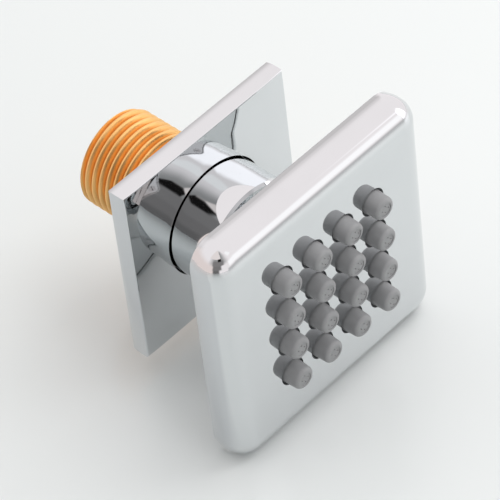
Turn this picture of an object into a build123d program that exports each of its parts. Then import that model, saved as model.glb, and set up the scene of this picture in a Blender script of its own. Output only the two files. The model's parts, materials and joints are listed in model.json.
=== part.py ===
from build123d import *
import os
from math import radians, sin, sqrt, tan

# Square wall shower head on a ball joint, in millimetres.
# The wall is the plane Y = 0. The inlet thread runs along +Y into the wall and the water leaves along -Y.
# A place along the axis is given as its distance in front of the wall, negative inside the wall.

os.makedirs("parts", exist_ok=True)

# Inlet: a G1/2 pipe thread with a stepped bore
thread_radius = 20.955 / 2
thread_length = 22.4
thread_chamfer = 0.4
inlet_bore_radius = 7.0
filter_depth = 8.0
filter_thickness = 1.6
filter_frame_width = 1.2
filter_web_thickness = 0.6
filter_hole_radius = 0.5
filter_hole_pitch = 1.7
filter_hole_rows = 5
restrictor_bore_radius = 6.2
restrictor_thickness = 3.2
restrictor_hole_radius = 1.3
restrictor_hole_count = 3
restrictor_ring_radius = 0.6
water_bore_radius = 4.4
web_thickness = 3.0
collar_length = 1.8
collar_floor = 1.13

# Neck and ball joint
neck_radius = 12.35
neck_length = 14.4
neck_bevel = 0.5
nut_wall = 1.85
lip_thickness = 1.5
lip_clearance = 0.4
spigot_wall = 1.2
seat_ring_wall = 1.4
front_ring_tail = 1.5
rear_seat_inner_angle = 58.0
rear_seat_outer_angle = 28.0
front_seat_angle = 15.5
seat_o_ring_radius = 0.8
ball_bore_radius = 3.4
stem_radius = 5.2
stem_length = 8.0
stem_thread_radius = 4.9
stem_thread_length = 5.0
hexagon_across_flats = 13.0
hexagon_thickness = 2.0
stem_o_ring_radius = 0.75

# Cover plate on the wall
flange_size = 43.6
flange_thickness = 4.2
flange_edge = 0.35
flange_gap = 0.4
flange_rim = 2.0
gasket_thickness = 2.2
flange_boss_wall = 1.5
flange_o_ring_radius = 0.75

# Head
head_size = 56.0
corner_radius = 5.4
edge_radius = 4.9
back_taper = 12.0
back_taper_depth = 1.9
back_taper_blend = 7.0
back_edge = 0.3
shell_wall = 1.1
face_wall = 1.6
cavity_slope = 45.0
cover_recess = 0.1
cover_gap = 0.35
cover_thickness = 1.5
chamber_height = 1.9
spray_thickness = 1.5
mat_thickness = 1.2
hub_height = 6.1
hub_radius = 9.5
dome_radius = 17.0
dome_bulge = 1.6
seal_width = 2.0
post_radius = 2.4
posts_per_side = 2
post_inset = 1.8
rim_wall = 1.1
rim_overlap = 0.6
screw_radius = 1.2
screw_length = 5.0
screw_head_radius = 2.3
screw_head_slope = 45.0
screw_slot_width = 0.6
screw_slot_depth = 0.6

# Nozzles
nozzle_rows = 4
nozzle_pitch = 8.37
nozzle_radius = 2.6
nozzle_gap = 0.4
nozzle_reach = 3.3
nozzle_taper = 3.0
nozzle_tip_edge = 0.8
dimple_radius = 1.4
dimple_depth = 0.15
feed_radius = 1.3
jet_radius = 0.15
jet_circle_radius = 0.8
jets_per_nozzle = 4
jet_land = 1.0

# Clearances
running_fit = 0.06
thread_fit = 0.1
seat_gap = 0.05
loose_fit = 0.1

# Ball joint, worked out from the neck inwards
nut_bore_radius = neck_radius - nut_wall
front_ring_radius = nut_bore_radius - running_fit
ball_radius = front_ring_radius - seat_ring_wall - running_fit
seat_radius = ball_radius + running_fit
front_ring_reach = ball_radius * sin(radians(front_seat_angle))
lip_back = neck_length - lip_thickness
front_ring_front = lip_back - seat_gap
ball_centre = front_ring_front - front_ring_reach
front_ring_opening = sqrt(seat_radius**2 - front_ring_reach**2)
lip_radius = front_ring_opening + lip_clearance
spigot_radius = nut_bore_radius - thread_fit
spigot_bore_radius = spigot_radius - spigot_wall
rear_ring_radius = spigot_bore_radius - running_fit
rear_ring_front = ball_centre - ball_radius * sin(radians(rear_seat_outer_angle))
rear_ring_back = ball_centre - ball_radius * sin(radians(rear_seat_inner_angle))
rear_ring_front_opening = sqrt(seat_radius**2 - (ball_centre - rear_ring_front) ** 2)
rear_ring_back_opening = sqrt(seat_radius**2 - (ball_centre - rear_ring_back) ** 2)
seat_o_ring_centre = rear_ring_back - seat_gap - seat_o_ring_radius
seat_o_ring_middle = (rear_ring_back_opening + rear_ring_radius) / 2
seat_floor = seat_o_ring_centre - seat_o_ring_radius - seat_gap

# Inlet, worked out backwards from the floor under the ball seats
thread_root = seat_floor - collar_floor
nut_back = thread_root + collar_length
inlet_end = thread_root - thread_length
filter_back = inlet_end + filter_depth
filter_front = filter_back + filter_thickness
restrictor_front = seat_floor - web_thickness
restrictor_back = restrictor_front - restrictor_thickness
restrictor_radius = restrictor_bore_radius - loose_fit
restrictor_ring_middle = restrictor_radius - restrictor_ring_radius
restrictor_ring_centre = restrictor_front - restrictor_thickness / 2
filter_radius = inlet_bore_radius - loose_fit

# Ball stem, and the stack of the head in front of it
collar_back = ball_centre + stem_length
collar_front = collar_back + hexagon_thickness
stem_end = collar_front + stem_thread_length
hub_back = collar_front + seat_gap
hub_bore_radius = stem_thread_radius + thread_fit
stem_o_ring_middle = hub_bore_radius + loose_fit + stem_o_ring_radius
stem_groove_radius = stem_o_ring_middle + stem_o_ring_radius + loose_fit
stem_groove_depth = 2 * stem_o_ring_radius + seat_gap
cover_back = hub_back + hub_height
cover_front = cover_back + cover_thickness
shell_back = cover_back - cover_recess
spray_back = cover_front + chamber_height
mat_back = spray_back + spray_thickness
face_back = mat_back + mat_thickness
face_front = face_back + face_wall
nozzle_tip = face_front + nozzle_reach

# Inside of the head, worked out from its outline inwards
cavity_size = head_size - 2 * shell_wall
cavity_corner = corner_radius - shell_wall
cover_size = cavity_size - 2 * cover_gap
cover_corner = cavity_corner - cover_gap
post_place = cavity_size / 2 - post_inset - post_radius
post_spacing = 2 * post_place
rim_outer_size = post_spacing - 2 * post_radius
rim_inner_size = rim_outer_size - 2 * rim_wall
mat_size = rim_inner_size - 2 * loose_fit
rim_height = mat_thickness + spray_thickness + rim_overlap
slope_start = face_front - edge_radius
taper_start = shell_back + back_taper_depth
hole_radius = nozzle_radius + nozzle_gap
screw_head_height = (screw_head_radius - screw_radius) / tan(radians(screw_head_slope))
screw_tip = cover_back + screw_length

# Cover plate, worked out from the neck outwards
flange_hole_radius = neck_radius + flange_gap
flange_o_ring_middle = neck_radius + running_fit + flange_o_ring_radius
flange_groove_radius = flange_o_ring_middle + flange_o_ring_radius + running_fit
flange_groove_half_width = flange_o_ring_radius + running_fit
flange_middle = flange_thickness / 2
flange_boss_radius = flange_groove_radius + flange_boss_wall
pocket_size = flange_size - 2 * flange_rim
gasket_size = pocket_size - 2 * loose_fit
gasket_hole_radius = flange_boss_radius + loose_fit


def at(radius, front):
    """A point of a turned profile: its radius, and its distance in front of the wall."""
    return (radius, -front)


def facing(front):
    """A plane parallel to the wall that looks into the room."""
    return Plane.XZ.offset(front)


def write(piece, name):
    """Names a finished piece and writes it to its own file."""
    piece.part.label = name
    export_step(piece.part, f"parts/{name}.step")


def o_ring(middle, section, front):
    """Turns the round section of a seal about the axis."""
    with BuildPart() as ring:
        with BuildSketch(Plane.XY):
            with Locations(at(middle, front)):
                Circle(section)
        revolve(axis=Axis.Y)
    return ring


# Inlet body: thread shank, stepped bore, collar under the cover plate, and the spigot for the nut
with BuildPart() as inlet_body:
    with BuildSketch(Plane.XY):
        with BuildLine():
            Polyline(
                at(inlet_bore_radius, inlet_end),
                at(thread_radius - thread_chamfer, inlet_end),
                at(thread_radius, inlet_end + thread_chamfer),
                at(thread_radius, thread_root),
                at(neck_radius, thread_root),
                at(neck_radius, nut_back),
                at(spigot_radius, nut_back),
                at(spigot_radius, rear_ring_front),
                at(spigot_bore_radius, rear_ring_front),
                at(spigot_bore_radius, seat_floor),
                at(water_bore_radius, seat_floor),
                at(water_bore_radius, restrictor_front),
                at(restrictor_bore_radius, restrictor_front),
                at(restrictor_bore_radius, filter_front),
                at(inlet_bore_radius, filter_front),
                close=True,
            )
        make_face()
    revolve(axis=Axis.Y)
write(inlet_body, "inlet_body")

# Inlet filter: a moulded ring with a thin pierced web
with BuildPart() as inlet_filter:
    with BuildSketch(facing(filter_back)):
        Circle(filter_radius)
        Circle(filter_radius - filter_frame_width, mode=Mode.SUBTRACT)
    extrude(amount=filter_thickness)
    with BuildSketch(facing(filter_front - filter_web_thickness)):
        Circle(filter_radius - filter_frame_width / 2)
        with HexLocations(filter_hole_pitch / 2, filter_hole_rows, filter_hole_rows):
            Circle(filter_hole_radius, mode=Mode.SUBTRACT)
    extrude(amount=filter_web_thickness)
write(inlet_filter, "inlet_filter")

# Flow restrictor: a disc with a groove round its edge and three small bores
with BuildPart() as flow_restrictor:
    with BuildSketch(facing(restrictor_back)):
        Circle(restrictor_radius)
        with PolarLocations(restrictor_radius / 2, restrictor_hole_count):
            Circle(restrictor_hole_radius, mode=Mode.SUBTRACT)
    extrude(amount=restrictor_thickness)
    with BuildSketch(Plane.XY):
        with Locations(at(restrictor_radius, restrictor_ring_centre)):
            Rectangle(4 * restrictor_ring_radius + 2 * seat_gap, 2 * (restrictor_ring_radius + seat_gap))
    revolve(axis=Axis.Y, mode=Mode.SUBTRACT)
write(flow_restrictor, "flow_restrictor")

restrictor_o_ring = o_ring(restrictor_ring_middle, restrictor_ring_radius, restrictor_ring_centre)
write(restrictor_o_ring, "restrictor_o_ring")

# Swivel nut: the round chrome neck, threaded inside, with a lip in front of the ball
with BuildPart() as swivel_nut:
    with BuildSketch(Plane.XY):
        with BuildLine():
            Polyline(
                at(nut_bore_radius, nut_back),
                at(neck_radius, nut_back),
                at(neck_radius, neck_length - neck_bevel),
                at(neck_radius - neck_bevel, neck_length),
                at(lip_radius, neck_length),
                at(lip_radius, lip_back),
                at(nut_bore_radius, lip_back),
                close=True,
            )
        make_face()
    revolve(axis=Axis.Y)
write(swivel_nut, "swivel_nut")

# Rear seat ring: a plastic ring with a hollow round seat for the ball
with BuildPart() as rear_seat_ring:
    with BuildSketch(Plane.XY):
        with BuildLine():
            Polyline(
                at(rear_ring_back_opening, rear_ring_back),
                at(rear_ring_radius, rear_ring_back),
                at(rear_ring_radius, rear_ring_front),
                at(rear_ring_front_opening, rear_ring_front),
            )
            RadiusArc(
                at(rear_ring_front_opening, rear_ring_front),
                at(rear_ring_back_opening, rear_ring_back),
                -seat_radius,
            )
        make_face()
    revolve(axis=Axis.Y)
write(rear_seat_ring, "rear_seat_ring")

seat_o_ring = o_ring(seat_o_ring_middle, seat_o_ring_radius, seat_o_ring_centre)
write(seat_o_ring, "seat_o_ring")

# Front seat ring: holds the ball back from the lip of the nut
with BuildPart() as front_seat_ring:
    with BuildSketch(Plane.XY):
        with BuildLine():
            Polyline(
                at(seat_radius, ball_centre),
                at(seat_radius, ball_centre - front_ring_tail),
                at(front_ring_radius, ball_centre - front_ring_tail),
                at(front_ring_radius, front_ring_front),
                at(front_ring_opening, front_ring_front),
            )
            RadiusArc(at(front_ring_opening, front_ring_front), at(seat_radius, ball_centre), -seat_radius)
        make_face()
    revolve(axis=Axis.Y)
write(front_seat_ring, "front_seat_ring")

# Swivel ball: ball, stem, hexagon collar and threaded end, bored through for the water
with BuildPart() as swivel_ball:
    with BuildSketch(Plane.XY):
        with Locations(at(0, ball_centre)):
            Circle(ball_radius)
        with BuildLine():
            Polyline(
                at(0, ball_centre),
                at(stem_radius, ball_centre),
                at(stem_radius, collar_front),
                at(stem_thread_radius, collar_front),
                at(stem_thread_radius, stem_end),
                at(0, stem_end),
                close=True,
            )
        make_face()
        with Locations(at(0, (ball_centre + stem_end) / 2)):
            Rectangle(2 * ball_bore_radius, 2 * (stem_end - ball_centre + ball_radius), mode=Mode.SUBTRACT)
        split(bisect_by=Plane.YZ)
    revolve(axis=Axis.Y)
    with BuildSketch(facing(collar_back)):
        RegularPolygon(hexagon_across_flats / 2, 6, major_radius=False)
        Circle(stem_thread_radius, mode=Mode.SUBTRACT)
    extrude(amount=hexagon_thickness)
write(swivel_ball, "swivel_ball")

stem_o_ring = o_ring(
    stem_o_ring_middle, stem_o_ring_radius, hub_back + stem_groove_depth - stem_o_ring_radius
)
write(stem_o_ring, "stem_o_ring")

# Cover plate: a square plate with a pocket behind it and a grooved boss round the neck
with BuildPart() as wall_flange:
    with BuildSketch(facing(0)):
        Rectangle(flange_size, flange_size)
    extrude(amount=flange_thickness)
    fillet(wall_flange.faces().sort_by(Axis.Y)[0].edges(), flange_edge)
    with BuildSketch(facing(0)):
        Rectangle(pocket_size, pocket_size)
        Circle(flange_boss_radius, mode=Mode.SUBTRACT)
    extrude(amount=gasket_thickness, mode=Mode.SUBTRACT)
    with BuildSketch(facing(0)):
        Circle(flange_hole_radius)
    extrude(amount=flange_thickness, mode=Mode.SUBTRACT)
    with BuildSketch(facing(flange_middle - flange_groove_half_width)):
        Circle(flange_groove_radius)
    extrude(amount=2 * flange_groove_half_width, mode=Mode.SUBTRACT)
write(wall_flange, "wall_flange")

# Gasket: the soft pad in the pocket, level with the back of the cover plate
with BuildPart() as flange_gasket:
    with BuildSketch(facing(0)):
        Rectangle(gasket_size, gasket_size)
        Circle(gasket_hole_radius, mode=Mode.SUBTRACT)
    extrude(amount=gasket_thickness)
write(flange_gasket, "flange_gasket")

flange_o_ring = o_ring(flange_o_ring_middle, flange_o_ring_radius, flange_middle)
write(flange_o_ring, "flange_o_ring")

# Back cover: a flat plate with a domed hub that is threaded for the stem
with BuildPart() as back_cover:
    with BuildSketch(facing(cover_back)):
        RectangleRounded(cover_size, cover_size, cover_corner)
    extrude(amount=cover_thickness)
    with BuildSketch(Plane.XY):
        with BuildLine():
            SagittaArc(at(dome_radius, cover_back), at(hub_radius, hub_back), -dome_bulge)
            Polyline(
                at(hub_radius, hub_back),
                at(0, hub_back),
                at(0, cover_front),
                at(dome_radius, cover_front),
                at(dome_radius, cover_back),
            )
        make_face()
    revolve(axis=Axis.Y)
    with BuildSketch(facing(hub_back)):
        Circle(hub_bore_radius)
    extrude(amount=cover_front - hub_back, mode=Mode.SUBTRACT)
    with BuildSketch(facing(hub_back)):
        Circle(stem_groove_radius)
    extrude(amount=stem_groove_depth, mode=Mode.SUBTRACT)
    with Locations(Plane.XZ.offset(cover_back).rotated((180, 0, 0))):
        with GridLocations(post_spacing, post_spacing, posts_per_side, posts_per_side):
            CounterSinkHole(screw_radius + loose_fit, screw_head_radius + loose_fit, 2 * cover_thickness)
write(back_cover, "back_cover")

# Cover screws: four countersunk screws with a slot
with BuildPart() as cover_screws:
    with BuildSketch(facing(cover_back)):
        with GridLocations(post_spacing, post_spacing, posts_per_side, posts_per_side):
            Circle(screw_radius)
    extrude(amount=screw_length)
    with BuildSketch(facing(cover_back)):
        with GridLocations(post_spacing, post_spacing, posts_per_side, posts_per_side):
            Circle(screw_head_radius)
    extrude(amount=screw_head_height, taper=screw_head_slope)
    with BuildSketch(facing(cover_back)):
        with GridLocations(post_spacing, post_spacing, posts_per_side, posts_per_side):
            Rectangle(2 * screw_head_radius, screw_slot_width)
    extrude(amount=screw_slot_depth, mode=Mode.SUBTRACT)
write(cover_screws, "cover_screws")

# Chamber seal: a square band between the back cover and the spray plate
with BuildPart() as chamber_seal:
    with BuildSketch(facing(cover_front)):
        Rectangle(mat_size, mat_size)
        Rectangle(mat_size - 2 * seal_width, mat_size - 2 * seal_width, mode=Mode.SUBTRACT)
    extrude(amount=chamber_height)
write(chamber_seal, "chamber_seal")

# Spray plate: backs the nozzle mat and feeds each nozzle
with BuildPart() as spray_plate:
    with BuildSketch(facing(spray_back)):
        Rectangle(mat_size, mat_size)
        with GridLocations(nozzle_pitch, nozzle_pitch, nozzle_rows, nozzle_rows):
            Circle(feed_radius, mode=Mode.SUBTRACT)
    extrude(amount=spray_thickness)
write(spray_plate, "spray_plate")

# Nozzle mat: one soft moulding, a sheet with the nozzles standing on it
with BuildPart() as nozzle_mat:
    with BuildSketch(facing(mat_back)):
        Rectangle(mat_size, mat_size)
    extrude(amount=mat_thickness)
    with BuildSketch(facing(face_back)):
        with GridLocations(nozzle_pitch, nozzle_pitch, nozzle_rows, nozzle_rows):
            Circle(nozzle_radius)
    extrude(amount=nozzle_tip - face_back, taper=nozzle_taper)
    fillet(nozzle_mat.edges().filter_by(GeomType.CIRCLE).group_by(Axis.Y)[0], nozzle_tip_edge)
    with BuildSketch(facing(mat_back)):
        with GridLocations(nozzle_pitch, nozzle_pitch, nozzle_rows, nozzle_rows):
            Circle(feed_radius)
    extrude(amount=nozzle_tip - dimple_depth - jet_land - mat_back, mode=Mode.SUBTRACT)
    with BuildSketch(facing(mat_back)):
        with GridLocations(nozzle_pitch, nozzle_pitch, nozzle_rows, nozzle_rows):
            with PolarLocations(jet_circle_radius, jets_per_nozzle):
                Circle(jet_radius)
    extrude(amount=nozzle_tip - mat_back, mode=Mode.SUBTRACT)
    with BuildSketch(facing(nozzle_tip)):
        with GridLocations(nozzle_pitch, nozzle_pitch, nozzle_rows, nozzle_rows):
            Circle(dimple_radius)
    extrude(amount=-dimple_depth, mode=Mode.SUBTRACT)
write(nozzle_mat, "nozzle_mat")

# Face shell: a square cup with soft front edges, holes for the nozzles, screw posts and a locating rim
with BuildPart() as face_shell:
    with BuildSketch(facing(taper_start)):
        RectangleRounded(head_size, head_size, corner_radius)
    extrude(amount=face_front - taper_start)
    fillet(face_shell.faces().sort_by(Axis.Y)[0].edges(), edge_radius)
    extrude(face_shell.faces().sort_by(Axis.Y)[-1], amount=back_taper_depth, taper=back_taper)
    fillet(face_shell.edges().filter_by_position(Axis.Y, -taper_start, -taper_start), back_taper_blend)
    fillet(face_shell.faces().sort_by(Axis.Y)[-1].edges(), back_edge)
    with BuildSketch(facing(shell_back)):
        RectangleRounded(cavity_size, cavity_size, cavity_corner)
    extrude(amount=slope_start - shell_back, mode=Mode.SUBTRACT)
    with BuildSketch(facing(slope_start)):
        RectangleRounded(cavity_size, cavity_size, cavity_corner)
    extrude(amount=face_back - slope_start, taper=cavity_slope, mode=Mode.SUBTRACT)
    with BuildSketch(facing(face_back - rim_height)):
        Rectangle(rim_outer_size, rim_outer_size)
        Rectangle(rim_inner_size, rim_inner_size, mode=Mode.SUBTRACT)
    extrude(amount=rim_height)
    with BuildSketch(facing(cover_front)):
        with GridLocations(post_spacing, post_spacing, posts_per_side, posts_per_side):
            Circle(post_radius)
    extrude(amount=face_back - cover_front)
    with BuildSketch(facing(cover_front)):
        with GridLocations(post_spacing, post_spacing, posts_per_side, posts_per_side):
            Circle(screw_radius + seat_gap)
    extrude(amount=screw_tip + seat_gap - cover_front, mode=Mode.SUBTRACT)
    with BuildSketch(facing(face_back)):
        with GridLocations(nozzle_pitch, nozzle_pitch, nozzle_rows, nozzle_rows):
            Circle(hole_radius)
    extrude(amount=face_wall, mode=Mode.SUBTRACT)
write(face_shell, "face_shell")
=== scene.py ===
import json
import math
from collections import namedtuple

import bmesh
import bpy
from mathutils import Matrix, Vector


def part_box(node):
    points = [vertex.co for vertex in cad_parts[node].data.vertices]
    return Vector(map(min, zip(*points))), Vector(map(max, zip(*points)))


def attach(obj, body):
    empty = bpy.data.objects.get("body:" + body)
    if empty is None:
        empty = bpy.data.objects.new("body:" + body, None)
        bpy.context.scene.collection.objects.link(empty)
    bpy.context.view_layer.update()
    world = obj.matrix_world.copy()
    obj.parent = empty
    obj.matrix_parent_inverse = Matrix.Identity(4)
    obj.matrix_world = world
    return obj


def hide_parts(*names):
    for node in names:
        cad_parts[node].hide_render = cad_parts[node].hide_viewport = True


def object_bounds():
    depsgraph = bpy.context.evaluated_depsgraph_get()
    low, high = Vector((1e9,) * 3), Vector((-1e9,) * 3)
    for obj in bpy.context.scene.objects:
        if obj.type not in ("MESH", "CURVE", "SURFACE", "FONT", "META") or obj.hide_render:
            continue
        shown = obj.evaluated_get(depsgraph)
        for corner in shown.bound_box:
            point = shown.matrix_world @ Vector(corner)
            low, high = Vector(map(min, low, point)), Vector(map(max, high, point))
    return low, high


# Square chrome wall shower head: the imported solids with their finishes, a cut thread on the inlet and a softened
# cover plate, in a pale studio.
# Metres. The wall is the plane Y = 0, the inlet thread runs along +Y and the water leaves along -Y.

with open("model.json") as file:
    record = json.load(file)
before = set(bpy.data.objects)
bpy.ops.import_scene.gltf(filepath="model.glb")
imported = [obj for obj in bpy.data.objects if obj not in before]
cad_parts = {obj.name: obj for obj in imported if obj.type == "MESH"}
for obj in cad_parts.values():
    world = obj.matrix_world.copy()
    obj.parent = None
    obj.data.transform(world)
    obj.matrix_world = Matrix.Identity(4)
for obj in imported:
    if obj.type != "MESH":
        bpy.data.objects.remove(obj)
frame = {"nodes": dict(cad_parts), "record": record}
cad_low, cad_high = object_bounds()
nodes = frame["nodes"]
MM = 0.001

# Camera, fitted to the corners and outlines of the object, in degrees and metres
CAMERA_AZIMUTH = -41.952
CAMERA_ELEVATION = 46.246
CAMERA_ROLL = -7.252
CAMERA_DISTANCE = 713.605 * MM
CAMERA_SIDE = 9.6469 * MM
CAMERA_RISE = -8.4658 * MM
CAMERA_LENS = 268.09
CAMERA_CLIP = 10.0 * MM
SENSOR_WIDTH = 36.0

# Inlet body, the same sizes as the solid, with a G1/2 thread cut into its shank
THREAD_PITCH = 1.814 * MM
THREAD_DEPTH = 1.162 * MM
THREAD_CHAMFER = 0.4 * MM
THREAD_RUN_OUT = 1.6 * MM
CREST_FULLNESS = 1.7
INLET_BORE = 7.0 * MM
FILTER_SEAT = 9.6 * MM
RESTRICTOR_BORE = 6.2 * MM
WATER_BORE = 4.4 * MM
WEB_THICKNESS = 3.0 * MM
COLLAR_LENGTH = 1.8 * MM
COLLAR_FLOOR = 1.13 * MM
SPIGOT_RADIUS = 10.4 * MM
SPIGOT_BORE = 9.2 * MM
END_ROUNDING = 0.15 * MM
THREAD_STEPS_PER_PITCH = 24
THREAD_SIDES = 160
# Share of the painted root shade that the brass keeps on the end chamfer
CHAMFER_GROOVE = 0.3
SHARP_EDGE = math.radians(42)

# Cover plate, the same sizes as the solid, with the softened faces that polishing gives it
PLATE_EDGE = 0.35 * MM
PLATE_HOLE = 12.75 * MM
PLATE_GROOVE = 13.97 * MM
PLATE_GROOVE_HALF = 0.81 * MM
PLATE_BOSS = 15.47 * MM
PLATE_POCKET = 19.8 * MM
PLATE_POCKET_DEPTH = 2.2 * MM
FACE_FALL = 0.15 * MM
FACE_FALL_WIDTH = 5.0 * MM
HOLE_FALL = 0.08 * MM
HOLE_FALL_WIDTH = 2.2 * MM
BACK_FALL = 0.17 * MM
BACK_FALL_WIDTH = 1.5 * MM
PLATE_SIDES = 192
PLATE_RINGS = 40
PLATE_EDGE_STEPS = 4

# Nearly all of a noise texture's values lie between these two
NOISE_LOW = 0.3
NOISE_HIGH = 0.7

# Floor, and the painted shade on the table's left, which only the chrome's reflections show
FLOOR_SIZE = 6.0
FLOOR_DROP = 0.02 * MM
FLOOR_DARK = (0.803, 0.818, 0.813)
FLOOR_LIGHT = (0.823, 0.838, 0.833)
TABLE_SHADE = (0.69, 0.705, 0.71)
TABLE_SHADE_LEFT = -26.0 * MM
TABLE_SHADE_FRONT = -30.0 * MM
TABLE_SHADE_EDGE = 8.0 * MM

# Soft light on the matt surfaces: a lamp, pale walls and roof, and one darker side
KEY_AZIMUTH = -22
KEY_ELEVATION = 54
KEY_DISTANCE = 0.52
KEY_SIZE = 0.34
KEY_POWER = 0.88
WALL_LOW = (0.74, 0.765, 0.765)
WALL_HIGH = (0.88, 0.895, 0.895)
WALL_HEIGHT = 0.4
OVERHEAD = (1.04, 1.037, 1.037)
DARK_SIDE = (0.44, 0.465, 0.465)
DARK_SIDE_AZIMUTHS = (155, 250)
DARK_SIDE_ELEVATIONS = (-1, 55)

# Painted reflections that only mirrors see: a glowing white roof with soft cards laid over it, the later ones on
# top.
# Angles are in degrees: azimuth from +X towards +Y, elevation above the horizon.
STUDIO_RADIUS = 1.5
DOME_AZIMUTHS = (-180, 180)
DOME_ELEVATIONS = (-1, 89)
DOME_STEP = 1.0
ROOF = (1.14, 1.07, 1.08)
Card = namedtuple("Card", "azimuths elevations side_edge level_edge colour")
# Each card is a painted reflection: the light ones are painted highlights, the dark ones painted dark bands
grey_wall = Card((52, 105), (-5, 18), side_edge=10, level_edge=28, colour=(0.65, 0.615, 0.615))
warm_wall = Card((110, 205), (-5, 20), side_edge=8, level_edge=26, colour=(1.0, 0.865, 0.835))
edge_highlight = Card((-88, -50), (17, 27), side_edge=5, level_edge=9, colour=(1.38, 1.34, 1.35))
edge_line = Card((-95, -44), (-5, 3), side_edge=6, level_edge=8, colour=(0.66, 0.645, 0.65))
soft_box_reflection = Card((-46, -25), (8, 37), side_edge=4, level_edge=10, colour=(1.82, 1.76, 1.81))
high_light = Card((-70, -57), (48, 60), side_edge=7, level_edge=5, colour=(1.28, 1.25, 1.26))
grey_sheet = Card((-150, -117), (38, 75), side_edge=42, level_edge=16, colour=(0.40, 0.39, 0.39))
warm_roof = Card((-185, -122), (53, 85), side_edge=5, level_edge=2, colour=(1.04, 0.94, 0.92))
dark_low = Card((-153, -137), (-5, 14), side_edge=9, level_edge=8, colour=(0.19, 0.18, 0.18))
dark_middle = Card((-154, -127), (14, 29), side_edge=9, level_edge=8, colour=(0.25, 0.235, 0.235))
dark_high = Card((-156, -115), (29, 43), side_edge=11, level_edge=5, colour=(0.28, 0.265, 0.265))
black_strip = Card((-134, -120), (44, 51), side_edge=4, level_edge=3, colour=(0.012, 0.011, 0.011))
CARDS = [
    grey_wall,
    warm_wall,
    edge_highlight,
    edge_line,
    soft_box_reflection,
    high_light,
    grey_sheet,
    warm_roof,
    dark_low,
    dark_middle,
    dark_high,
    black_strip,
]


def new_material(name):
    """A node material, its shader, and the place on the object as texture coordinates."""
    material = bpy.data.materials.new(name)
    material.use_nodes = True
    tree = material.node_tree
    shader = tree.nodes["Principled BSDF"]
    place = tree.nodes.new("ShaderNodeTexCoord").outputs["Object"]
    return material, tree, shader, place


def noise(tree, place, scale, detail=3.0, stretch=(1.0, 1.0, 1.0)):
    """Soft noise whose features are about 1 / scale metres across."""
    mapping = tree.nodes.new("ShaderNodeMapping")
    mapping.inputs["Scale"].default_value = stretch
    texture = tree.nodes.new("ShaderNodeTexNoise")
    texture.inputs["Scale"].default_value = scale
    texture.inputs["Detail"].default_value = detail
    tree.links.new(place, mapping.inputs["Vector"])
    tree.links.new(mapping.outputs["Vector"], texture.inputs["Vector"])
    return texture.outputs["Fac"]


def colours(tree, factor, stops):
    """Turns a factor into a colour through a ramp of (place, colour) stops."""
    ramp = tree.nodes.new("ShaderNodeValToRGB")
    elements = ramp.color_ramp.elements
    while len(elements) < len(stops):
        elements.new(0.5)
    for element, (spot, colour) in zip(elements, stops):
        element.position = spot
        element.color = (*colour, 1.0)
    tree.links.new(factor, ramp.inputs["Fac"])
    return ramp.outputs["Color"]


def mottled(tree, texture, dark, light):
    """Turns a noise texture into an uneven tone between two colours."""
    return colours(tree, texture, [(NOISE_LOW, dark), (NOISE_HIGH, light)])


def between(tree, factor, low, high, start=NOISE_LOW, end=NOISE_HIGH):
    """Spreads a factor over a range of values."""
    spread = tree.nodes.new("ShaderNodeMapRange")
    spread.inputs["From Min"].default_value = start
    spread.inputs["From Max"].default_value = end
    spread.inputs["To Min"].default_value = low
    spread.inputs["To Max"].default_value = high
    tree.links.new(factor, spread.inputs["Value"])
    return spread.outputs["Result"]


def product(tree, one, other):
    """Multiplies two factors."""
    times = tree.nodes.new("ShaderNodeMath")
    times.operation = "MULTIPLY"
    tree.links.new(one, times.inputs[0])
    tree.links.new(other, times.inputs[1])
    return times.outputs["Value"]


def relief(tree, shader, factor, height, strength):
    """Raises the surface by a factor, up to a height in metres."""
    bump = tree.nodes.new("ShaderNodeBump")
    bump.inputs["Strength"].default_value = strength
    bump.inputs["Distance"].default_value = height
    tree.links.new(factor, bump.inputs["Height"])
    tree.links.new(bump.outputs["Normal"], shader.inputs["Normal"])


def chrome_material():
    """Polished chrome plate, with faint clouds in its polish."""
    material, tree, shader, place = new_material("chrome")
    clouds = noise(tree, place, scale=70.0)
    tone = mottled(tree, clouds, dark=(0.68, 0.70, 0.71), light=(0.70, 0.72, 0.73))
    tree.links.new(tone, shader.inputs["Base Color"])
    polish = noise(tree, place, scale=320.0, detail=4.0)
    tree.links.new(between(tree, polish, low=0.02, high=0.05), shader.inputs["Roughness"])
    shader.inputs["Metallic"].default_value = 1.0
    return material


def brass_material():
    """Bare turned brass: a painted highlight on the crests, painted shade in the roots, and fine turning marks."""
    material, tree, shader, place = new_material("brass")
    depth = tree.nodes.new("ShaderNodeAttribute")
    depth.attribute_name = "groove"
    # Painted light: the cut depth makes the crests lighter as a painted highlight and the roots darker as painted
    # shade
    crest_highlight, flank_tone, root_shade = (1.0, 0.62, 0.25), (1.0, 0.56, 0.19), (0.78, 0.40, 0.125)
    tone = colours(tree, depth.outputs["Fac"], [(0.0, crest_highlight), (0.5, flank_tone), (1.0, root_shade)])
    stain = noise(tree, place, scale=260.0, detail=4.0)
    shade = mottled(tree, stain, dark=(0.90, 0.88, 0.84), light=(1.0, 1.0, 1.0))
    mix = tree.nodes.new("ShaderNodeMix")
    mix.data_type = "RGBA"
    mix.blend_type = "MULTIPLY"
    mix.inputs["Factor"].default_value = 1.0
    tree.links.new(tone, mix.inputs["A"])
    tree.links.new(shade, mix.inputs["B"])
    tree.links.new(mix.outputs["Result"], shader.inputs["Base Color"])
    marks = noise(tree, place, scale=900.0, detail=2.0, stretch=(0.12, 9.0, 0.12))
    tree.links.new(between(tree, marks, low=0.30, high=0.40), shader.inputs["Roughness"])
    relief(tree, shader, marks, height=0.015 * MM, strength=0.5)
    shader.inputs["Metallic"].default_value = 0.85
    return material


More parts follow.
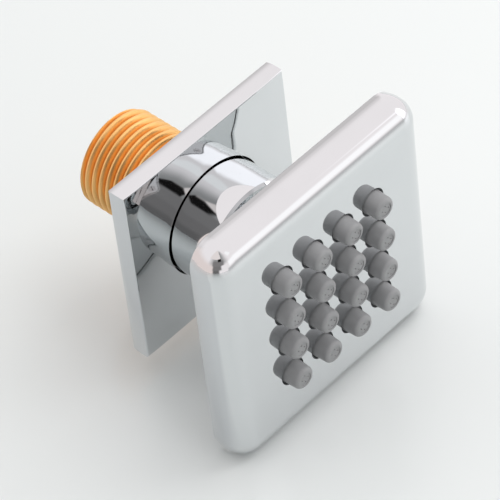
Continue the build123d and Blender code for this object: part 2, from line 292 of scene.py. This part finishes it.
def silicone_material():
    """Satin grey silicone with a fine moulded grain."""
    material, tree, shader, place = new_material("silicone")
    clouds = noise(tree, place, scale=420.0)
    tone = mottled(tree, clouds, dark=(0.298, 0.297, 0.303), light=(0.332, 0.331, 0.337))
    tree.links.new(tone, shader.inputs["Base Color"])
    grain = noise(tree, place, scale=5200.0, detail=2.0)
    tree.links.new(between(tree, grain, low=0.42, high=0.56), shader.inputs["Roughness"])
    relief(tree, shader, grain, height=0.012 * MM, strength=0.4)
    return material


def moulded_material(name, dark, light, rough_low, rough_high):
    """Moulded plastic or rubber: a little uneven in tone, with a fine grain."""
    material, tree, shader, place = new_material(name)
    clouds = noise(tree, place, scale=300.0)
    tree.links.new(mottled(tree, clouds, dark, light), shader.inputs["Base Color"])
    grain = noise(tree, place, scale=4200.0, detail=2.0)
    tree.links.new(between(tree, grain, rough_low, rough_high), shader.inputs["Roughness"])
    relief(tree, shader, grain, height=0.01 * MM, strength=0.35)
    return material


def rubber_material():
    """Black moulded rubber of the seals."""
    dark, light = (0.012, 0.012, 0.013), (0.022, 0.022, 0.023)
    return moulded_material("rubber", dark, light, rough_low=0.45, rough_high=0.65)


def plastic_material():
    """White moulded plastic of the inner pieces."""
    dark, light = (0.72, 0.72, 0.70), (0.78, 0.78, 0.76)
    return moulded_material("plastic", dark, light, rough_low=0.35, rough_high=0.5)


def steel_material():
    """Plain stainless steel with fine brushing across it."""
    material, tree, shader, place = new_material("steel")
    brushing = noise(tree, place, scale=1500.0, detail=2.0, stretch=(0.1, 1.0, 4.0))
    tone = mottled(tree, brushing, dark=(0.55, 0.55, 0.56), light=(0.66, 0.66, 0.67))
    tree.links.new(tone, shader.inputs["Base Color"])
    tree.links.new(between(tree, brushing, low=0.18, high=0.34), shader.inputs["Roughness"])
    shader.inputs["Metallic"].default_value = 1.0
    return material


finishes = {
    "chrome": chrome_material(),
    "brass": brass_material(),
    "silicone": silicone_material(),
    "rubber": rubber_material(),
    "plastic": plastic_material(),
    "steel": steel_material(),
}
for part in frame["record"]["subparts"]:
    mesh = nodes[part["node"]].data
    mesh.materials.clear()
    mesh.materials.append(finishes[part["material_slot"]])


def smooth_mesh(bm, name, material):
    """Makes a mesh of what was built, smooth but for its sharp edges."""
    bmesh.ops.recalc_face_normals(bm, faces=bm.faces)
    for face in bm.faces:
        face.smooth = True
    for edge in bm.edges:
        edge.smooth = edge.calc_face_angle(0.0) < SHARP_EDGE
    mesh = bpy.data.meshes.new(name)
    bm.to_mesh(mesh)
    bm.free()
    mesh.materials.append(material)
    return mesh


def cut_depth(along, angle):
    """How deep the thread is cut here, from 0 on a crest to 1 in a root."""
    turns = (along / THREAD_PITCH - angle / (2 * math.pi)) % 1.0
    return abs(2 * turns - 1) ** CREST_FULLNESS


def inlet_mesh():
    """The inlet body turned about the axis, with the helix of its thread."""
    low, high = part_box("inlet_body")
    collar_radius = high.x
    thread_end = high.y
    spigot_end = low.y
    pin = next(m for m in frame["record"]["mounts"] if m["name"] == "inlet_thread")
    crest = pin["dims"]["r_mm"] * MM
    end_radius = crest - THREAD_CHAMFER - END_ROUNDING
    floor = -COLLAR_FLOOR
    web_back = floor + WEB_THICKNESS
    filter_seat = thread_end - FILTER_SEAT
    chamfer_start = thread_end - THREAD_CHAMFER
    steps = round(thread_end / THREAD_PITCH * THREAD_STEPS_PER_PITCH)
    bm = bmesh.new()
    # Cut depth at each point, which sets the brass's painted highlight and painted shade
    groove = bm.verts.layers.float.new("groove")

    def section(angle):
        """The closed outline at one angle, as (radius, along, groove) points."""
        points = [(INLET_BORE, thread_end, 0.0), (end_radius, thread_end, 0.0)]
        for step in range(steps + 1):
            along = thread_end * (1 - step / steps)
            cut = cut_depth(along, angle)
            if along < THREAD_RUN_OUT:
                cut = max(cut, 1 - along / THREAD_RUN_OUT)
            radius = crest - THREAD_DEPTH * cut
            chamfer = end_radius + (thread_end - along)
            # Less painted shade on the end chamfer
            tone = cut if along < chamfer_start else CHAMFER_GROOVE * cut
            points.append((min(radius, chamfer), along, tone))
        points += [
            (collar_radius, 0.0, 0.0),
            (collar_radius, -COLLAR_LENGTH, 0.0),
            (SPIGOT_RADIUS, -COLLAR_LENGTH, 0.0),
            (SPIGOT_RADIUS, spigot_end, 0.0),
            (SPIGOT_BORE, spigot_end, 0.0),
            (SPIGOT_BORE, floor, 0.0),
            (WATER_BORE, floor, 0.0),
            (WATER_BORE, web_back, 0.0),
            (RESTRICTOR_BORE, web_back, 0.0),
            (RESTRICTOR_BORE, filter_seat, 0.0),
            (INLET_BORE, filter_seat, 0.0),
        ]
        return points

    rings = []
    for side in range(THREAD_SIDES):
        angle = 2 * math.pi * side / THREAD_SIDES
        ring = []
        for radius, along, tone in section(angle):
            vert = bm.verts.new((radius * math.sin(angle), along, radius * math.cos(angle)))
            vert[groove] = tone
            ring.append(vert)
        rings.append(ring)
    for ring, following in zip(rings, rings[1:] + rings[:1]):
        count = len(ring)
        for i in range(count):
            j = (i + 1) % count
            bm.faces.new((ring[i], following[i], following[j], ring[j]))
    return smooth_mesh(bm, "inlet_thread", finishes["brass"])


inlet = bpy.data.objects.new("inlet_thread", inlet_mesh())
bpy.context.scene.collection.objects.link(inlet)
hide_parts("inlet_body")
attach(inlet, "neck")


def plate_mesh():
    """The square cover plate: flat in the middle, rolling off a little towards its edges."""
    low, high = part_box("wall_flange")
    half = high.x
    thickness = -low.y
    groove_low = thickness / 2 - PLATE_GROOVE_HALF
    groove_high = thickness / 2 + PLATE_GROOVE_HALF
    bm = bmesh.new()

    def fall(inside, height, width):
        """How far a softened face has dropped, this far inside its edge."""
        return height * max(1 - inside / width, 0.0) ** 2

    def front(x, z):
        """Height of the front face above the wall."""
        drop = sum(fall(half - abs(reach), FACE_FALL, FACE_FALL_WIDTH) for reach in (x, z))
        return thickness - drop - fall(math.hypot(x, z) - PLATE_HOLE, HOLE_FALL, HOLE_FALL_WIDTH)

    def ring(radius, reach, share, height):
        """A closed line of points, a share of the way from a circle to a square."""
        line = []
        for side in range(PLATE_SIDES):
            angle = 2 * math.pi * side / PLATE_SIDES
            across, up = math.sin(angle), math.cos(angle)
            square = reach / max(abs(across), abs(up))
            size = radius + (square - radius) * share
            x, z = across * size, up * size
            line.append(bm.verts.new((x, -height(x, z), z)))
        return line

    def circle(radius, height):
        """A level round line."""
        return ring(radius, radius, 0.0, lambda x, z: height)

    def square(reach, height):
        """A level square line."""
        return ring(reach, reach, 1.0, lambda x, z: height)

    # Front face from the hole outwards, with its lines closer together at both ends
    lines = []
    for i in range(PLATE_RINGS + 1):
        share = 0.5 - 0.5 * math.cos(math.pi * i / PLATE_RINGS)
        lines.append(ring(PLATE_HOLE, half - PLATE_EDGE, share, front))
    # Rounded front edge
    for i in range(1, PLATE_EDGE_STEPS + 1):
        angle = math.pi / 2 * i / PLATE_EDGE_STEPS
        reach = half - PLATE_EDGE + PLATE_EDGE * math.sin(angle)
        sunk = PLATE_EDGE * (1 - math.cos(angle))
        lines.append(ring(reach, reach, 1.0, lambda x, z: front(x, z) - sunk))
    # Sides, which turn in a little towards the wall
    for i in range(PLATE_EDGE_STEPS + 1):
        height = BACK_FALL_WIDTH * (1 - i / PLATE_EDGE_STEPS)
        lines.append(square(half - fall(height, BACK_FALL, BACK_FALL_WIDTH), height))
    # Pocket in the back, boss round the neck and groove for the O-ring
    lines += [
        square(PLATE_POCKET, 0.0),
        square(PLATE_POCKET, PLATE_POCKET_DEPTH),
        circle(PLATE_BOSS, PLATE_POCKET_DEPTH),
        circle(PLATE_BOSS, 0.0),
        circle(PLATE_HOLE, 0.0),
        circle(PLATE_HOLE, groove_low),
        circle(PLATE_GROOVE, groove_low),
        circle(PLATE_GROOVE, groove_high),
        circle(PLATE_HOLE, groove_high),
    ]
    for line, following in zip(lines, lines[1:] + lines[:1]):
        for i in range(PLATE_SIDES):
            j = (i + 1) % PLATE_SIDES
            bm.faces.new((line[i], line[j], following[j], following[i]))
    return smooth_mesh(bm, "cover_plate", finishes["chrome"])


plate = bpy.data.objects.new("cover_plate", plate_mesh())
bpy.context.scene.collection.objects.link(plate)
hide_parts("wall_flange")
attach(plate, "flange")


def floor_material():
    """Pale glossy board, faintly uneven. Mirrors alone see a painted shade on it, on the left of the object."""
    material, tree, shader, place = new_material("floor")
    clouds = noise(tree, place, scale=3.0)
    tone = mottled(tree, clouds, FLOOR_DARK, FLOOR_LIGHT)
    split = tree.nodes.new("ShaderNodeSeparateXYZ")
    tree.links.new(place, split.inputs["Vector"])
    # Painted shade: for glossy rays alone the table turns to TABLE_SHADE left of TABLE_SHADE_LEFT and behind
    # TABLE_SHADE_FRONT
    left_end = TABLE_SHADE_LEFT - TABLE_SHADE_EDGE
    left = between(tree, split.outputs["X"], 1.0, 0.0, left_end, TABLE_SHADE_LEFT)
    front_end = TABLE_SHADE_FRONT - TABLE_SHADE_EDGE
    behind = between(tree, split.outputs["Y"], 0.0, 1.0, front_end, TABLE_SHADE_FRONT)
    mirrored = tree.nodes.new("ShaderNodeLightPath").outputs["Is Glossy Ray"]
    share = product(tree, mirrored, product(tree, left, behind))
    mix = tree.nodes.new("ShaderNodeMix")
    mix.data_type = "RGBA"
    mix.inputs["B"].default_value = (*TABLE_SHADE, 1.0)
    tree.links.new(share, mix.inputs["Factor"])
    tree.links.new(tone, mix.inputs["A"])
    tree.links.new(mix.outputs["Result"], shader.inputs["Base Color"])
    tree.links.new(between(tree, clouds, low=0.16, high=0.2), shader.inputs["Roughness"])
    return material


bpy.ops.mesh.primitive_plane_add(size=FLOOR_SIZE, location=(0, 0, cad_low.z - FLOOR_DROP))
floor = bpy.context.object
floor.name = "floor"
floor.data.materials.append(floor_material())


def direction(azimuth, elevation):
    """Unit vector of an azimuth and an elevation in degrees."""
    a = math.radians(azimuth)
    e = math.radians(elevation)
    return Vector((math.cos(a) * math.cos(e), math.sin(a) * math.cos(e), math.sin(e)))


def feather(value, low, high, soft):
    """1 between two limits, falling smoothly to 0 over a soft edge outside them."""
    past = max(low - value, value - high, 0.0) / soft
    if past >= 1.0:
        return 0.0
    return 1.0 - past * past * (3.0 - 2.0 * past)


def studio_shade(azimuth, elevation):
    """The painted reflection a mirror sees in this direction: a white roof, with each soft card laid over it in
    turn.
    """
    shade = Vector(ROOF)
    for card in CARDS:
        middle = sum(card.azimuths) / 2
        turned = (azimuth - middle + 180.0) % 360.0 - 180.0 + middle
        share = feather(turned, *card.azimuths, card.side_edge)
        share *= feather(elevation, *card.elevations, card.level_edge)
        shade = shade.lerp(Vector(card.colour), share)
    return shade


def dome_piece(name, azimuths, elevations, for_mirrors):
    """Part of a glowing dome round the object, which the camera doesn't see.

    Mirrors alone see one that is for them, as painted reflections. Matt surfaces see the other kind, and it keeps
    the room's light off.
    """
    bm = bmesh.new()
    tint = bm.verts.layers.float_color.new("shade")
    columns = round((azimuths[1] - azimuths[0]) / DOME_STEP)
    rows = round((elevations[1] - elevations[0]) / DOME_STEP)
    lines = []
    for row in range(rows + 1):
        elevation = elevations[0] + (elevations[1] - elevations[0]) * row / rows
        line = []
        for column in range(columns + 1):
            azimuth = azimuths[0] + (azimuths[1] - azimuths[0]) * column / columns
            shade = studio_shade(azimuth, elevation) if for_mirrors else DARK_SIDE
            vert = bm.verts.new(direction(azimuth, elevation) * STUDIO_RADIUS)
            vert[tint] = (*shade, 1.0)
            line.append(vert)
        lines.append(line)
    for line, following in zip(lines, lines[1:]):
        for i in range(columns):
            bm.faces.new((line[i], line[i + 1], following[i + 1], following[i]))
    mesh = bpy.data.meshes.new(name)
    bm.to_mesh(mesh)
    bm.free()
    material = bpy.data.materials.new(name)
    material.use_nodes = True
    tree = material.node_tree
    tree.nodes.clear()
    shade = tree.nodes.new("ShaderNodeAttribute")
    shade.attribute_name = "shade"
    glow = tree.nodes.new("ShaderNodeEmission")
    output = tree.nodes.new("ShaderNodeOutputMaterial")
    tree.links.new(shade.outputs["Color"], glow.inputs["Color"])
    tree.links.new(glow.outputs["Emission"], output.inputs["Surface"])
    mesh.materials.append(material)
    piece = bpy.data.objects.new(name, mesh)
    bpy.context.scene.collection.objects.link(piece)
    piece.visible_camera = False
    piece.visible_glossy = for_mirrors
    piece.visible_diffuse = not for_mirrors
    piece.visible_shadow = not for_mirrors


# Painted reflections for everything glossy, and a darker side for the matt surfaces
dome_piece("studio_dome", DOME_AZIMUTHS, DOME_ELEVATIONS, for_mirrors=True)
dome_piece("dark_side", DARK_SIDE_AZIMUTHS, DARK_SIDE_ELEVATIONS, for_mirrors=False)


def key_light():
    """A square soft box that looks at the object, and that mirrors don't see."""
    lamp = bpy.data.lights.new("key", "AREA")
    lamp.shape = "SQUARE"
    lamp.size = KEY_SIZE
    lamp.energy = KEY_POWER
    holder = bpy.data.objects.new("key", lamp)
    bpy.context.scene.collection.objects.link(holder)
    holder.location = direction(KEY_AZIMUTH, KEY_ELEVATION) * KEY_DISTANCE
    holder.rotation_euler = (-holder.location).to_track_quat("-Z", "Y").to_euler()
    holder.visible_glossy = False


key_light()


def studio_world():
    """Pale studio walls, brighter overhead."""
    world = bpy.data.worlds.new("studio")
    world.use_nodes = True
    tree = world.node_tree
    background = tree.nodes["Background"]
    place = tree.nodes.new("ShaderNodeTexCoord").outputs["Generated"]
    split = tree.nodes.new("ShaderNodeSeparateXYZ")
    tree.links.new(place, split.inputs["Vector"])
    stops = [(0.0, WALL_LOW), (WALL_HEIGHT, WALL_HIGH), (1.0, OVERHEAD)]
    tone = colours(tree, split.outputs["Z"], stops)
    tree.links.new(tone, background.inputs["Color"])
    bpy.context.scene.world = world


studio_world()


def photo_camera():
    """The camera at the fitted angle, distance and roll."""
    azimuth = math.radians(CAMERA_AZIMUTH)
    elevation = math.radians(CAMERA_ELEVATION)
    roll = math.radians(CAMERA_ROLL)
    across = math.sin(azimuth) * math.cos(elevation)
    forward = math.cos(azimuth) * math.cos(elevation)
    back = Vector((across, -forward, math.sin(elevation)))
    level = Vector((math.cos(azimuth), math.sin(azimuth), 0.0))
    upright = back.cross(level)
    right = level * math.cos(roll) + upright * math.sin(roll)
    up = upright * math.cos(roll) - level * math.sin(roll)
    spot = back * CAMERA_DISTANCE + right * CAMERA_SIDE + up * CAMERA_RISE
    data = bpy.data.cameras.new("camera")
    data.sensor_width = SENSOR_WIDTH
    data.lens = CAMERA_LENS
    data.clip_start = CAMERA_CLIP
    camera = bpy.data.objects.new("camera", data)
    bpy.context.scene.collection.objects.link(camera)
    turn = Matrix((right, up, back)).transposed()
    camera.matrix_world = Matrix.Translation(spot) @ turn.to_4x4()
    bpy.context.scene.camera = camera


photo_camera()

bpy.context.scene.view_settings.view_transform = "Standard"
